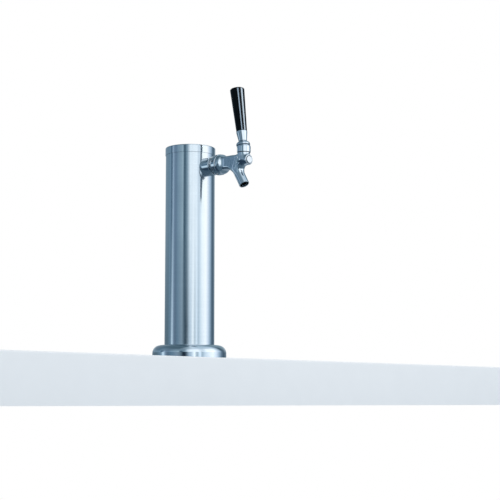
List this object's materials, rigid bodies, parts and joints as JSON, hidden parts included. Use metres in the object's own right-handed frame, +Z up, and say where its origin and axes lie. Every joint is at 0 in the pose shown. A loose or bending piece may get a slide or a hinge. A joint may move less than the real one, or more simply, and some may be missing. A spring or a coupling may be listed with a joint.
{
  "type": "beer tap tower",
  "caption": "Round brushed steel column on a polished bolted foot, with a chrome lever faucet, angled spout and black handle.",
  "frame": {"origin": "centre of the foot on the counter, on the column's axis", "axes": "+Z up along the column, -Y forward along the faucet, +X to the right seen from the faucet's front"},
  "size_m": [0.113, 0.1849, 0.4092],
  "materials": {
    "column_steel": "brushed round the column",
    "cap_steel": "fine spun finish",
    "flange_chrome": "mirror polished",
    "faucet_chrome": "polished chrome",
    "fitting_chrome": "polished chrome",
    "plate_steel": "plain mill finish",
    "line_steel": "drawn tube",
    "brass": "turned",
    "black_rubber": "moulded",
    "nylon": "natural nylon",
    "foam": "closed-cell foam",
    "grip_black": "high gloss"
  },
  "bodies": {
    "tower": {"base_gasket": "black_rubber", "base_plate": "plate_steel", "column_tube": "column_steel", "insulation_sleeve": "foam", "shank": "fitting_chrome", "shank_collar": "fitting_chrome", "shank_saddle": "nylon", "shank_nut": "brass", "tail_washer": "black_rubber", "tail_nut": "brass", "tail_elbow": "line_steel", "beer_line": "line_steel", "inlet_stem": "line_steel", "coupling_nut": "fitting_chrome", "coupling_washer": "black_rubber", "faucet_body": "faucet_chrome", "nose_cap": "fitting_chrome", "bonnet": "fitting_chrome", "bonnet_seal": "black_rubber", "friction_ring": "nylon", "ball_washer": "black_rubber"},
    "cover": {"flange_cover": "flange_chrome"},
    "cap": {"column_cap": "cap_steel", "cap_seal": "black_rubber"},
    "lever": {"lever": "fitting_chrome", "lever_collar": "fitting_chrome", "handle_ferrule": "fitting_chrome", "handle_stud": "brass", "tap_handle": "grip_black"},
    "valve": {"valve_shaft": "line_steel", "seat_washer": "black_rubber", "shaft_nut": "brass"}
  },
  "joints": [
    {"name": "lever_pivot", "type": "hinge", "parent": "tower", "child": "lever", "pos_m": [0, -0.1161, 0.311], "axis": [1, 0, 0], "range_deg": [0, 26]},
    {"name": "valve_slide", "type": "slide", "parent": "tower", "child": "valve", "axis": [0, 1, 0], "range_m": [0, 0.0069]},
    {"name": "cap_lift", "type": "slide", "parent": "tower", "child": "cap", "axis": [0, 0, 1], "range_m": [0, 0.04]},
    {"name": "cover_lift", "type": "slide", "parent": "tower", "child": "cover", "axis": [0, 0, 1], "range_m": [0, 0.15]}
  ],
  "couplings": [
    {"joint": "valve_slide", "follows": "lever_pivot", "m_per_rad": 0.014824}
  ]
}
